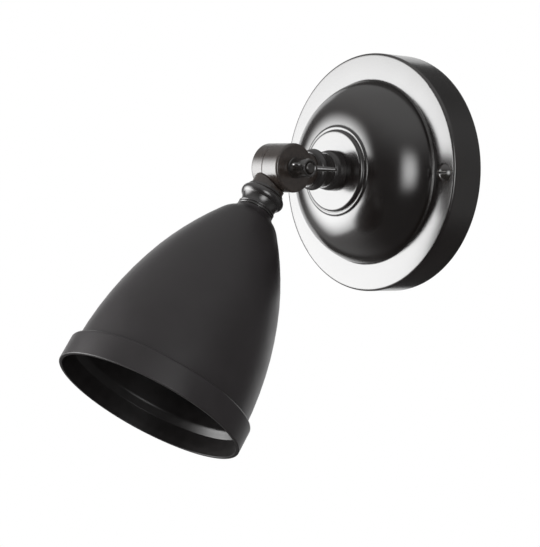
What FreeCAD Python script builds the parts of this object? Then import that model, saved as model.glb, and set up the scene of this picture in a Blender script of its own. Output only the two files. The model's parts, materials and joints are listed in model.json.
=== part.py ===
import FreeCAD, Part
import math
import os
import Sketcher

# Pivoting spotlight wall light: a round pressed backplate, a turned stem, a two-half knuckle that a
# wing nut clamps, and a bell shade. Millimetres, +Z up, the wall is the plane Y = 0 and the light
# stands out along -Y. The origin is the centre of the backplate's wall face.
#
# Every turned piece is drawn in its own frame with +Z as its turning axis. Pieces on the wall side
# measure Z as the distance from the wall; pieces of the head measure it from the knuckle's pivot.

SIZES = {
    # backplate, a pressed sheet pan with a raised dome
    "plate_radius": 57.5, "plate_depth": 17.7, "plate_wall": 1.5, "rim_round": 1.2,
    "land_width": 13.5, "dome_step": 0.6, "dome_wall": 1.6, "dome_arc": 26.6,
    "crown_radius": 21.6, "crown_drop": 2.25, "crown_round": 1.25, "crown_band": 2.05,
    "crown_valley": 0.35, "face_round": 1.45, "face_depth": 40.65,
    # the two round-head screws on the horizontal diameter, and the strap that takes them
    "screw_inset": 6.9, "screw_radius": 2.4, "head_radius": 4.6, "head_height": 2.9,
    "head_slot": 1.2, "slot_depth": 1.1, "screw_length": 11.0,
    "strap_thick": 2.0, "strap_width": 20.0, "strap_room": 3.5, "strap_ledge": 17.0,
    "strap_height": 13.0, "strap_bend": 1.2, "strap_corner": 5.0,
    "wall_slot_inset": 12.0, "wall_slot_length": 9.0, "wall_slot_radius": 2.6,
    # terminal block and earth point on the strap
    "block_length": 25.0, "block_width": 14.0, "block_height": 13.0, "block_pitch": 8.0,
    "wire_hole": 1.9, "wire_place": 5.0, "grub_radius": 1.6, "grub_height": 4.0,
    "grub_slot": 0.6, "fixing_radius": 1.5, "fixing_head": 2.1, "fixing_head_height": 1.3,
    "earth_pitch": 7.6, "earth_radius": 1.7, "earth_head": 3.2, "earth_head_height": 1.4,
    "earth_length": 7.0, "tag_thick": 0.6, "tag_radius": 3.6, "tag_reach": 12.0, "tag_width": 4.0,
    # hollow threaded tube with its washer and nut
    "tube_radius": 5.0, "tube_bore": 3.6, "tube_tail": 10.65, "tube_room": 1.03,
    "washer_radius": 10.0, "washer_thick": 1.2, "nut_flats": 14.0, "nut_height": 4.0,
    # turned stem
    "collar_radius": 9.6, "collar_height": 6.45, "collar_wall": 2.2, "collar_arc": 6.2,
    "collar_neck": 8.85, "groove_depth": 0.4, "groove_width": 0.7, "lip_width": 0.6, "lip_arc": 0.9,
    "waist_radius": 7.9, "waist_cove": 14.0, "bead_radius": 9.8, "bead_root": 8.3,
    # shares: the knuckle's stub takes this much of the way from collar to pivot, and the bead is so
    # wide and so far from the stub, as shares of the spacer's length
    "stub_share": 0.6305, "bead_share": 0.4423, "bead_set": 0.3462,
    # knuckle
    "pivot_reach": 75.24, "barrel_radius": 11.36, "barrel_left": 6.74, "barrel_right": 11.46,
    "barrel_round": 1.3, "seam_place": 1.1, "seam_gap": 0.3, "saddle_gap": 0.35,
    "stub_radius": 7.8, "disc_radius": 7.4, "disc_thick": 1.5,
    "bolt_radius": 2.5, "bolt_head": 4.6, "bolt_head_height": 2.4, "bolt_end": 22.2,
    "bolt_chamfer": 0.5, "hub_foot": 4.9, "hub_flare": 0.8, "hub_top": 4.15, "hub_length": 10.3,
    "wing_reach": 13.9, "wing_root": 2.9, "wing_tip": 1.8, "wing_lift": 12.8, "wing_round": 3.0,
    "wing_margin": 1.2, "wing_start": 2.2,
    # turned neck of the head
    "tilt": 56.0, "neck_foot": 13.6, "flange_radius": 8.7, "flange_height": 1.0,
    "swell_radius": 10.4, "swell_root": 9.05, "swell_width": 4.7,
    "neck_radius": 8.3, "neck_cove": 7.5, "ring_place": 23.1, "ring_size": 0.5, "ring_pitch": 1.25,
    "neck_top": 25.1,
    # bell shade, spun from sheet
    "shade_wall": 1.2, "shade_crown": 2.4, "crest_radius": 8.75,
    "flare_radius": 11.9, "flare_place": 28.6, "flare_arc": 7.0,
    "shoulder_radius": 15.0, "shoulder_place": 32.2, "shoulder_arc": 16.8,
    "belly_radius": 30.9, "belly_place": 62.0, "upper_arc": 150.0,
    "lower_arc": 164.0,
    "band_radius": 44.4, "band_round": 1.0, "mouth_place": 129.6, "mouth_wall": 1.7,
    "band_step": 2.65, "band_width": 12.1,
    # lampholder
    "ring_nut_height": 3.0, "cap_radius": 12.2, "cap_neck": 8.0, "cap_flange": 1.0,
    "cap_height": 8.0, "cap_skirt": 2.0, "cap_arc": 6.5, "cap_floor": 3.5, "cap_wall": 1.8,
    "holder_radius": 12.5, "holder_length": 28.0, "holder_floor": 6.0,
    "socket_radius": 7.8, "shell_wall": 0.6, "shell_length": 15.0, "contact_radius": 3.2,
    "contact_height": 2.0, "contact_room": 1.0, "skirt_ring_radius": 15.6, "skirt_ring_height": 4.0,
    "skirt_ring_place": 52.0,
    # fits
    "thread_gap": 0.05, "running_gap": 0.05, "hole_gap": 0.2, "nut_room": 0.6, "wire_stop": 4.5,
}

doc = FreeCAD.newDocument("SpotlightWallLight")
sheet = doc.addObject("Spreadsheet::Sheet", "Sizes")
for row, (alias, value) in enumerate(SIZES.items(), start=1):
    sheet.set(f"A{row}", alias)
    sheet.set(f"B{row}", str(value))
    sheet.setAlias(f"B{row}", alias)
doc.recompute()


class Size:
    """A length that keeps its sheet expression beside its value, so both follow the same sum."""

    def __init__(self, text, value):
        self.text = text
        self.value = float(value)

    def __add__(self, other):
        other = size(other)
        return Size(f"({self.text} + {other.text})", self.value + other.value)

    def __sub__(self, other):
        other = size(other)
        return Size(f"({self.text} - {other.text})", self.value - other.value)

    def __mul__(self, other):
        other = size(other)
        return Size(f"({self.text} * {other.text})", self.value * other.value)

    def __truediv__(self, other):
        other = size(other)
        return Size(f"({self.text} / {other.text})", self.value / other.value)

    def __neg__(self):
        return Size(f"(0 - {self.text})", -self.value)

    def root(self):
        return Size(f"sqrt({self.text})", math.sqrt(self.value))


def size(value):
    return value if isinstance(value, Size) else Size(repr(float(value)), value)


def named(alias):
    return Size(f"Sizes.{alias}", SIZES[alias])


S = {alias: named(alias) for alias in SIZES}
ZERO = size(0)

# places that follow the plate's edge
screw_offset = S["plate_radius"] - S["screw_inset"]
dome_radius = S["plate_radius"] - S["land_width"]
strap_end = S["plate_radius"] - S["strap_room"]
strap_foot = strap_end - S["strap_ledge"]
earth_offset = screw_offset - S["earth_pitch"]
wall_slot_offset = strap_foot - S["wall_slot_inset"]

# places along the stem, from the plate's face to the knuckle's pivot
crown_depth = S["face_depth"] - S["crown_drop"]
collar_foot = S["face_depth"] + S["collar_height"]
stub_length = (S["pivot_reach"] - collar_foot) * S["stub_share"]
stem_top = S["pivot_reach"] - stub_length
spacer_length = stem_top - collar_foot
bead_width = spacer_length * S["bead_share"]
bead_place = stem_top - spacer_length * S["bead_set"]

# places along the shade, from its mouth
skirt_radius = S["band_radius"] - S["band_step"]
skirt_place = S["mouth_place"] - S["band_width"]


# ---------------------------------------------------------------- drawing helpers

def arc_centre(start, end, radius):
    """Centre of the arc from start to end that lies to the left of the way between them."""
    dx, dy = end[0] - start[0], end[1] - start[1]
    chord2 = dx * dx + dy * dy
    rise = ((radius * radius) / chord2 - 0.25).root()
    return (start[0] + dx / 2 - dy * rise, start[1] + dy / 2 + dx * rise)


def inset(point, centre, radius, wall):
    """The point moved by the wall towards the arc's centre."""
    share = wall / radius
    return (point[0] + (centre[0] - point[0]) * share, point[1] + (centre[1] - point[1]) * share)


def new_body(label):
    body = doc.addObject("PartDesign::Body", label)
    body.Label = label
    return body


def plane_of(body, role):
    for feature in body.Origin.OriginFeatures:
        if getattr(feature, "Role", "") == role:
            return feature
    raise RuntimeError(f"{body.Label} has no {role}")


def new_sketch(body, name, role, lift=None):
    sketch = body.newObject("Sketcher::SketchObject", name)
    sketch.AttachmentSupport = [(plane_of(body, role), "")]
    sketch.MapMode = "FlatFace"
    if lift is not None:
        sketch.setExpression("AttachmentOffset.Base.z", lift.text)
    return sketch


def bind(sketch, kind, geometry, point, value):
    """Tie one coordinate of a point, or a radius, to its expression."""
    if kind == "Radius":
        index = sketch.addConstraint(Sketcher.Constraint("Radius", geometry, value.value))
    elif abs(value.value) < 1e-9:
        axis = -2 if kind == "DistanceX" else -1
        sketch.addConstraint(Sketcher.Constraint("PointOnObject", geometry, point, axis))
        return
    elif value.value > 0:
        index = sketch.addConstraint(
            Sketcher.Constraint(kind, -1, 1, geometry, point, value.value))
    else:
        value = -value
        index = sketch.addConstraint(
            Sketcher.Constraint(kind, geometry, point, -1, 1, value.value))
    sketch.setExpression(f"Constraints[{index}]", value.text)


def outline(sketch, *steps):
    """Draw a closed outline. A step is a point, or (point, radius, side) for an arc that ends there,
    with its centre left of the way travelled for side +1 and right of it for side -1."""
    points = [step if len(step) == 2 else step[0] for step in steps]
    count = len(points)
    base = sketch.GeometryCount
    for k in range(count):
        start, end = points[k - 1], points[k]
        a = FreeCAD.Vector(start[0].value, start[1].value, 0)
        b = FreeCAD.Vector(end[0].value, end[1].value, 0)
        if len(steps[k]) == 2:
            sketch.addGeometry(Part.LineSegment(a, b), False)
            continue
        radius, side = steps[k][1], steps[k][2]
        chord = b - a
        half = chord.Length / 2
        rise = math.sqrt(max(radius.value ** 2 - half ** 2, 0.0))
        left = FreeCAD.Vector(-chord.y, chord.x, 0).normalize()
        centre = (a + b) * 0.5 + left * (rise * side)
        middle = centre - left * (radius.value * side)
        sketch.addGeometry(Part.Arc(a, middle, b), False)
    tips = [ends(sketch, base + k, points[k - 1], points[k]) for k in range(count)]
    for k in range(count):
        after = (k + 1) % count
        sketch.addConstraint(Sketcher.Constraint(
            "Coincident", base + k, tips[k][1], base + after, tips[after][0]))
    for k in range(count):
        bind(sketch, "DistanceX", base + k, tips[k][1], points[k][0])
        bind(sketch, "DistanceY", base + k, tips[k][1], points[k][1])
        if len(steps[k]) == 3:
            bind(sketch, "Radius", base + k, 0, steps[k][1])


def ends(sketch, index, start, end):
    """Which end of a line or arc, 1 or 2, lies at the start and which at the end of its step."""
    near = sketch.getPoint(index, 1)
    away = math.hypot(near.x - start[0].value, near.y - start[1].value)
    back = math.hypot(near.x - end[0].value, near.y - end[1].value)
    return (1, 2) if away <= back else (2, 1)


def circles(sketch, radius, *centres):
    for x, y in centres:
        index = sketch.addGeometry(Part.Circle(
            FreeCAD.Vector(x.value, y.value, 0), FreeCAD.Vector(0, 0, 1), radius.value), False)
        bind(sketch, "DistanceX", index, 3, x)
        bind(sketch, "DistanceY", index, 3, y)
        bind(sketch, "Radius", index, 0, radius)


def box_outline(sketch, x0, x1, y0, y1):
    outline(sketch, (x0, y0), (x1, y0), (x1, y1), (x0, y1))


def revolve(body, sketch, axis="V_Axis", cut=False):
    kind = "PartDesign::Groove" if cut else "PartDesign::Revolution"
    feature = body.newObject(kind, f"{sketch.Name}Turned")
    feature.Profile = sketch
    feature.ReferenceAxis = (sketch, [axis])
    feature.Angle = 360
    return finish(body, feature, sketch, cut)


def pad(body, sketch, length, middle=False, reverse=False):
    feature = body.newObject("PartDesign::Pad", f"{sketch.Name}Pad")
    feature.Profile = sketch
    feature.setExpression("Length", length.text)
    feature.Midplane = middle
    feature.Reversed = reverse
    return finish(body, feature, sketch, False)


def pocket(body, sketch, depth=None, middle=False, reverse=False):
    feature = body.newObject("PartDesign::Pocket", f"{sketch.Name}Cut")
    feature.Profile = sketch
    if depth is None:
        feature.Type = "ThroughAll"
    else:
        feature.setExpression("Length", depth.text)
    feature.Midplane = middle
    feature.Reversed = reverse
    return finish(body, feature, sketch, True)


def finish(body, feature, sketch, cut):
    """Recompute and make sure that the feature really added or removed material."""
    before = feature.BaseFeature.Shape.Volume if feature.BaseFeature else 0.0
    doc.recompute()
    sketch.Visibility = False
    change = feature.Shape.Volume - before
    if (change >= -1e-6) if cut else (change <= 1e-6):
        raise RuntimeError(f"{feature.Name} changed nothing: {change:.3f}")
    return feature


def round_edges(body, base, radius, chosen, name):
    """Fillet the edges of the base feature that the test chooses."""
    edges = [f"Edge{k + 1}" for k, edge in enumerate(base.Shape.Edges) if chosen(edge)]
    if not edges:
        raise RuntimeError(f"{name} finds no edge")
    feature = body.newObject("PartDesign::Fillet", name)
    feature.Base = (base, edges)
    feature.setExpression("Radius", radius.text)
    doc.recompute()
    if feature.Shape.isNull():
        raise RuntimeError(f"{name} failed")
    return feature


def place(body, reach=None, turn=None):
    """Stand a piece out from the wall: its +Z points along -Y, then turns down by the tilt."""
    body.Placement = FreeCAD.Placement(
        FreeCAD.Vector(0, 0, 0), FreeCAD.Rotation(FreeCAD.Vector(1, 0, 0), 90))
    if reach is not None:
        body.setExpression("Placement.Base.y", (-reach).text)
    if turn is not None:
        body.setExpression("Placement.Rotation.Angle", (size(90) + turn).text)


def turned(label, steps, reach=None, turn=None):
    """A piece turned about +Z from one closed outline of (radius, height) points."""
    body = new_body(label)
    sketch = new_sketch(body, f"{label}_outline", "XZ_Plane")
    outline(sketch, *steps)
    revolve(body, sketch)
    place(body, reach, turn)
    return body


def ring_steps(inner, outer, low, high):
    return [(inner, low), (outer, low), (outer, high), (inner, high)]


def bead_steps(root, top, place_at, width):
    """A rounded bead: up from its root to its crest and down again."""
    rise = top - root
    half = width / 2
    radius = (rise * rise + half * half) / (rise * 2)
    return [(root, place_at - half), ((top, place_at), radius, 1), ((root, place_at + half), radius, 1)]


# ---------------------------------------------------------------- backplate group

plate_floor = S["plate_depth"] - S["plate_wall"]
face_back = S["face_depth"] - S["plate_wall"]
tube_hole = S["tube_radius"] + S["thread_gap"]


def make_backplate():
    """One pressed pan: rim, flat land, short wall, dome, crown bead, valley and flat face."""
    wall = S["plate_wall"]
    rim_in = S["plate_radius"] - wall
    dome_foot = (dome_radius, S["plate_depth"] + S["dome_step"])
    dome_spring = (dome_radius, dome_foot[1] + S["dome_wall"])
    dome_top = (S["crown_radius"], crown_depth)
    centre = arc_centre(dome_spring, dome_top, S["dome_arc"])
    foot_in = inset(dome_spring, centre, S["dome_arc"], wall)
    top_in = inset(dome_top, centre, S["dome_arc"], wall)
    valley = S["crown_radius"] - S["crown_band"]
    face_edge = valley - S["face_round"]
    face_foot = S["face_depth"] - S["face_round"]
    hole = S["tube_radius"] + S["hole_gap"]
    body = new_body("backplate")
    sketch = new_sketch(body, "backplate_outline", "XZ_Plane")
    outline(
        sketch,
        (rim_in, ZERO), (S["plate_radius"], ZERO),
        (S["plate_radius"], S["plate_depth"] - S["rim_round"]),
        ((S["plate_radius"] - S["rim_round"], S["plate_depth"]), S["rim_round"], 1),
        (dome_radius + S["dome_step"], S["plate_depth"]),
        (dome_foot, S["dome_step"], 1), dome_spring,
        (dome_top, S["dome_arc"], 1),
        ((valley, face_foot - S["crown_valley"]), S["crown_round"], 1), (valley, face_foot),
        ((face_edge, S["face_depth"]), S["face_round"], 1),
        (hole, S["face_depth"]), (hole, face_back),
        (face_edge, face_back), (face_edge, top_in[1]),
        top_in, (foot_in, S["dome_arc"] - wall, -1),
        (foot_in[0], plate_floor), (rim_in, plate_floor))
    revolve(body, sketch)
    holes = new_sketch(body, "backplate_screw_holes", "XY_Plane")
    circles(holes, S["screw_radius"] + S["hole_gap"], (screw_offset, ZERO), (-screw_offset, ZERO))
    pocket(body, holes, reverse=True)
    place(body)
    return body


def at(edge, x, z):
    """The edge runs across the strap at this corner of its outline."""
    tips = [vertex.Point for vertex in edge.Vertexes]
    return len(tips) == 2 and abs(tips[0].x - tips[1].x) < 1e-3 and all(
        abs(abs(tip.x) - x.value) < 1e-3 and abs(tip.z - z.value) < 1e-3 for tip in tips)


def make_strap():
    """The steel strap behind the plate: a foot on the wall and two raised, tapped ends."""
    thick, foot, end, top = S["strap_thick"], strap_foot, strap_end, S["strap_height"]
    half_width = S["strap_width"] / 2
    body = new_body("wall_strap")
    sketch = new_sketch(body, "wall_strap_outline", "XZ_Plane")
    outline(
        sketch, (-foot, ZERO), (foot, ZERO), (foot, top - thick), (end, top - thick), (end, top),
        (foot - thick, top), (foot - thick, thick), (-(foot - thick), thick), (-(foot - thick), top),
        (-end, top), (-end, top - thick), (-foot, top - thick))
    strap = pad(body, sketch, S["strap_width"], middle=True)
    strap = round_edges(body, strap, S["strap_bend"], lambda edge: (
        at(edge, foot, top - thick) or at(edge, foot - thick, thick)), "wall_strap_inner_bends")
    strap = round_edges(body, strap, S["strap_bend"] + thick, lambda edge: (
        at(edge, foot, ZERO) or at(edge, foot - thick, top)), "wall_strap_outer_bends")
    round_edges(body, strap, S["strap_corner"], lambda edge: (
        abs(abs(edge.CenterOfMass.x) - end.value) < 1e-3
        and abs(abs(edge.CenterOfMass.y) - half_width.value) < 1e-3), "wall_strap_corners")
    tapped = new_sketch(body, "wall_strap_tapped_holes", "XY_Plane")
    circles(tapped, S["screw_radius"] + S["thread_gap"], (screw_offset, ZERO), (-screw_offset, ZERO))
    circles(tapped, S["earth_radius"] + S["thread_gap"], (-earth_offset, ZERO))
    circles(tapped, S["fixing_radius"] + S["thread_gap"], (S["block_pitch"] / 2, ZERO))
    pocket(body, tapped, reverse=True)
    slots = new_sketch(body, "wall_strap_slots", "XY_Plane")
    for side in (1, -1):
        middle = wall_slot_offset * side
        half, radius = S["wall_slot_length"] / 2, S["wall_slot_radius"]
        low, high = middle - half, middle + half
        outline(
            slots, ((low, -radius), radius, 1), (high, -radius), ((high + radius, ZERO), radius, 1),
            ((high, radius), radius, 1), (low, radius), ((low - radius, ZERO), radius, 1))
    pocket(body, slots, reverse=True)
    place(body)
    return body


def round_head_screw(label, x, seat, head, head_height, shank, length, slot, slot_depth):
    """A slotted round-head screw that stands on its seat, its shank running towards the wall."""
    body = new_body(label)
    radius = (head * head + head_height * head_height) / (head_height * 2)
    sketch = new_sketch(body, f"{label}_outline", "XZ_Plane")
    outline(
        sketch, (ZERO, seat - length), (shank, seat - length), (shank, seat), (head, seat),
        ((ZERO, seat + head_height), radius, 1))
    revolve(body, sketch)
    top = seat + head_height
    across = new_sketch(body, f"{label}_slot", "YZ_Plane")
    box_outline(across, -slot / 2, slot / 2, top - slot_depth, top + slot)
    pocket(body, across, middle=True)
    place(body)
    body.setExpression("Placement.Base.x", x.text)
    return body


def group(label, bodies):
    """Identical fasteners share one node, each as a solid of its own."""
    compound = doc.addObject("Part::Compound", label)
    compound.Label = label
    compound.Links = bodies
    doc.recompute()
    return compound


def make_plate_screws():
    screws = []
    for name, side in (("plate_screw_right", 1), ("plate_screw_left", -1)):
        screws.append(round_head_screw(
            name, screw_offset * side, S["plate_depth"], S["head_radius"], S["head_height"],
            S["screw_radius"], S["screw_length"], S["head_slot"], S["slot_depth"]))
    return group("plate_screws", screws)


block_seat = S["strap_thick"]
block_top = block_seat + S["block_height"]


def pole_places():
    return [(S["block_pitch"] * k) for k in (-1, 0, 1)]


def make_terminal_block():
    """A three-pole block: a wire way through each pole, a grub well above it, one fixing hole."""
    half_length, half_width = S["block_length"] / 2, S["block_width"] / 2
    body = new_body("terminal_block")
    sketch = new_sketch(body, "terminal_block_plan", "XY_Plane", block_seat)
    box_outline(sketch, -half_length, half_length, -half_width, half_width)
    pad(body, sketch, S["block_height"])
    wires = new_sketch(body, "terminal_block_wire_ways", "XZ_Plane")
    circles(wires, S["wire_hole"], *[(x, block_seat + S["wire_place"]) for x in pole_places()])
    pocket(body, wires, middle=True)
    wells = new_sketch(body, "terminal_block_wells", "XY_Plane", block_top)
    circles(wells, S["grub_radius"] + S["thread_gap"], *[(x, ZERO) for x in pole_places()])
    pocket(body, wells, S["block_height"] - S["wire_place"])
    fixing = new_sketch(body, "terminal_block_fixing", "XY_Plane", block_top)
    circles(fixing, S["fixing_radius"] + S["hole_gap"], (S["block_pitch"] / 2, ZERO))
    pocket(body, fixing)
    place(body)
    return body


def make_terminal_screws():
    screws = []
    low = block_seat + S["wire_place"] + S["wire_hole"] * 0.6
    for name, x in zip(("left", "middle", "right"), pole_places()):
        label = f"terminal_screw_{name}"
        body = turned(label, [
            (ZERO, low), (S["grub_radius"], low), (S["grub_radius"], low + S["grub_height"]),
            (ZERO, low + S["grub_height"])])
        across = new_sketch(body, f"{label}_slot", "YZ_Plane")
        half = S["grub_slot"] / 2
        box_outline(across, -half, half, low + S["grub_height"] - S["grub_slot"] * 1.5,
                    low + S["grub_height"] + S["grub_slot"])
        pocket(body, across, middle=True)
        place(body)
        body.setExpression("Placement.Base.x", x.text)
        screws.append(body)
    return group("terminal_screws", screws)


def make_block_screw():
    return round_head_screw(
        "block_screw", S["block_pitch"] / 2, block_top, S["fixing_head"], S["fixing_head_height"],
        S["fixing_radius"], block_top - S["hole_gap"], S["grub_slot"], S["grub_slot"])


def make_earth_tag():
    """A flat ring tag under the earth screw with its tongue clear of the strap."""
    seat = S["strap_height"]
    body = new_body("earth_tag")
    ring = new_sketch(body, "earth_tag_ring", "XY_Plane", seat)
    circles(ring, S["tag_radius"], (ZERO, ZERO))
    pad(body, ring, S["tag_thick"])
    tongue = new_sketch(body, "earth_tag_tongue", "XY_Plane", seat)
    half = S["tag_width"] / 2
    box_outline(tongue, -half, half, ZERO, S["tag_reach"])
    pad(body, tongue, S["tag_thick"])
    hole = new_sketch(body, "earth_tag_hole", "XY_Plane", seat)
    circles(hole, S["earth_radius"] + S["thread_gap"], (ZERO, ZERO))
    pocket(body, hole, reverse=True)
    place(body)
    body.setExpression("Placement.Base.x", (-earth_offset).text)
    return body


def make_earth_screw():
    return round_head_screw(
        "earth_screw", -earth_offset, S["strap_height"] + S["tag_thick"], S["earth_head"],
        S["earth_head_height"], S["earth_radius"], S["earth_length"], S["grub_slot"], S["grub_slot"])


# ---------------------------------------------------------------- stem

saddle = S["barrel_radius"] + S["saddle_gap"]
tube_back = S["face_depth"] - S["tube_tail"]
tube_front = S["pivot_reach"] - (saddle + S["tube_room"])
tube_grip = tube_front - stem_top
washer_seat = face_back - S["washer_thick"]


def make_stem_tube():
    return turned("stem_tube", ring_steps(S["tube_bore"], S["tube_radius"], tube_back, tube_front))


def make_back_washer():
    return turned("back_washer", ring_steps(tube_hole, S["washer_radius"], washer_seat, face_back))


def hexagon(sketch, flats):
    """A hexagon by its width across flats, with two corners on the X axis."""
    corner = flats / math.sqrt(3)
    half = corner / 2
    flat = flats / 2
    outline(sketch, (corner, ZERO), (half, flat), (-half, flat), (-corner, ZERO), (-half, -flat), (half, -flat))


def hex_nut(label, flats, low, height, turn=None, reach=None):
    body = new_body(label)
    sketch = new_sketch(body, f"{label}_flats", "XY_Plane", low)
    hexagon(sketch, flats)
    pad(body, sketch, height)
    bore = new_sketch(body, f"{label}_bore", "XY_Plane", low)
    circles(bore, tube_hole, (ZERO, ZERO))
    pocket(body, bore, reverse=True)
    place(body, reach, turn)
    return body


def make_back_nut():
    return hex_nut("back_nut", S["nut_flats"], washer_seat - S["nut_height"], S["nut_height"])


def make_stem_collar():
    """The wide collar on the plate's face: a straight wall, a full shoulder, a groove and a lip."""
    radius, neck = S["collar_radius"], S["collar_neck"]
    lip = collar_foot - S["lip_width"]
    groove = lip - S["groove_width"]
    return turned("stem_collar", [
        (tube_hole, S["face_depth"]), (radius, S["face_depth"]),
        (radius, S["face_depth"] + S["collar_wall"]), ((neck, groove), S["collar_arc"], 1),
        (neck - S["groove_depth"], lip - S["groove_width"] / 2), (neck, lip),
        ((S["waist_radius"], collar_foot), S["lip_arc"], 1), (tube_hole, collar_foot)])


def make_stem_bead():
    """The turned spacer between collar and knuckle: a cove that rises to one full bead."""
    bead = bead_steps(S["bead_root"], S["bead_radius"], bead_place, bead_width)
    return turned("stem_bead", [
        (tube_hole, collar_foot), (S["waist_radius"], collar_foot),
        (bead[0], S["waist_cove"], -1), bead[1], bead[2],
        (S["bead_root"], stem_top), (tube_hole, stem_top)])


# ---------------------------------------------------------------- knuckle

seam_fixed = S["seam_place"] + S["seam_gap"] / 2
seam_moving = S["seam_place"] - S["seam_gap"] / 2
disc_half = S["disc_thick"] / 2
disc_pocket = S["disc_radius"] + S["hole_gap"]
bolt_hole = S["bolt_radius"] + S["running_gap"]


def cut_circle(body, name, role, lift, radius, depth=None, reverse=False):
    sketch = new_sketch(body, name, role, lift)
    circles(sketch, radius, (ZERO, ZERO))
    pocket(body, sketch, depth, reverse=reverse)


def make_knuckle_fixed():
    """The wall-side half: a barrel, and a stub whose end is hollowed so that it clears the other half."""
    radius, edge, end = S["barrel_radius"], S["barrel_round"], S["barrel_right"]
    body = new_body("knuckle_fixed")
    barrel = new_sketch(body, "knuckle_fixed_barrel", "XZ_Plane")
    outline(
        barrel, (seam_fixed, ZERO), (end, ZERO), (end, radius - edge),
        ((end - edge, radius), edge, 1), (seam_fixed, radius))
    revolve(body, barrel, "H_Axis")
    stub = new_sketch(body, "knuckle_fixed_stub", "XY_Plane")
    circles(stub, S["stub_radius"], (ZERO, ZERO))
    pad(body, stub, stub_length, reverse=True)
    cut_circle(body, "knuckle_fixed_saddle", "YZ_Plane", seam_fixed, saddle)
    cut_circle(body, "knuckle_fixed_disc_pocket", "YZ_Plane", seam_fixed, disc_pocket,
               disc_half - S["seam_gap"] / 2, reverse=True)
    cut_circle(body, "knuckle_fixed_bore", "YZ_Plane", seam_fixed, bolt_hole, reverse=True)
    cut_circle(body, "knuckle_fixed_socket", "XY_Plane", -stub_length, tube_hole, tube_grip,
               reverse=True)
    cut_circle(body, "knuckle_fixed_wire_way", "XY_Plane", -stub_length, S["tube_bore"],
               stub_length - S["wire_stop"], reverse=True)
    place(body, S["pivot_reach"])
    return body


ring_nut_seat = S["neck_top"] + S["shade_crown"]
cap_seat = ring_nut_seat + S["ring_nut_height"]
tail_end = cap_seat + S["cap_floor"]


def make_knuckle_moving():
    """The shade-side half: its stub is saddled the other way and carries a threaded hollow tail."""
    radius, edge, end = S["barrel_radius"], S["barrel_round"], -S["barrel_left"]
    body = new_body("knuckle_moving")
    barrel = new_sketch(body, "knuckle_moving_barrel", "XZ_Plane")
    outline(
        barrel, (end, ZERO), (seam_moving, ZERO), (seam_moving, radius), (end + edge, radius),
        ((end, radius - edge), edge, 1))
    revolve(body, barrel, "H_Axis")
    stub = new_sketch(body, "knuckle_moving_stub", "XY_Plane")
    circles(stub, S["stub_radius"], (ZERO, ZERO))
    pad(body, stub, S["neck_foot"])
    tail = new_sketch(body, "knuckle_moving_tail", "XY_Plane", S["neck_foot"])
    circles(tail, S["tube_radius"], (ZERO, ZERO))
    pad(body, tail, tail_end - S["neck_foot"])
    cut_circle(body, "knuckle_moving_saddle", "YZ_Plane", seam_moving, saddle, reverse=True)
    cut_circle(body, "knuckle_moving_end_face", "YZ_Plane", end, radius)
    cut_circle(body, "knuckle_moving_disc_pocket", "YZ_Plane", seam_moving, disc_pocket,
               disc_half - S["seam_gap"] / 2 + S["running_gap"])
    cut_circle(body, "knuckle_moving_bore", "YZ_Plane", seam_moving, bolt_hole)
    cut_circle(body, "knuckle_moving_wire_way", "XY_Plane", tail_end, S["tube_bore"],
               tail_end - S["wire_stop"])
    place(body, S["pivot_reach"], S["tilt"])
    return body


def make_friction_disc():
    body = new_body("friction_disc")
    sketch = new_sketch(body, "friction_disc_outline", "XZ_Plane")
    outline(
        sketch, (S["seam_place"] - disc_half, bolt_hole), (S["seam_place"] + disc_half, bolt_hole),
        (S["seam_place"] + disc_half, S["disc_radius"]), (S["seam_place"] - disc_half, S["disc_radius"]))
    revolve(body, sketch, "H_Axis")
    place(body, S["pivot_reach"])
    return body


def make_pivot_bolt():
    """The bolt through both halves: a slotted domed head at the left, a chamfered end at the right."""
    seat = -(S["barrel_left"] + S["running_gap"])
    brim = S["bolt_head_height"] / 3
    rise = S["bolt_head_height"] - brim
    head = S["bolt_head"]
    crown = (head * head + rise * rise) / (rise * 2)
    chamfer, end, shank = S["bolt_chamfer"], S["bolt_end"], S["bolt_radius"]
    top = seat - S["bolt_head_height"]
    body = new_body("pivot_bolt")
    sketch = new_sketch(body, "pivot_bolt_outline", "XZ_Plane")
    outline(
        sketch, ((top, ZERO), crown, 1), (end, ZERO), (end, shank - chamfer),
        (end - chamfer, shank), (seat, shank), (seat, head), (seat - brim, head))
    revolve(body, sketch, "H_Axis")
    slot = new_sketch(body, "pivot_bolt_slot", "XY_Plane")
    half = S["head_slot"] / 2
    box_outline(slot, top - half, top + S["slot_depth"], -half, half)
    pocket(body, slot, middle=True)
    place(body, S["pivot_reach"])
    return body


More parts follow.
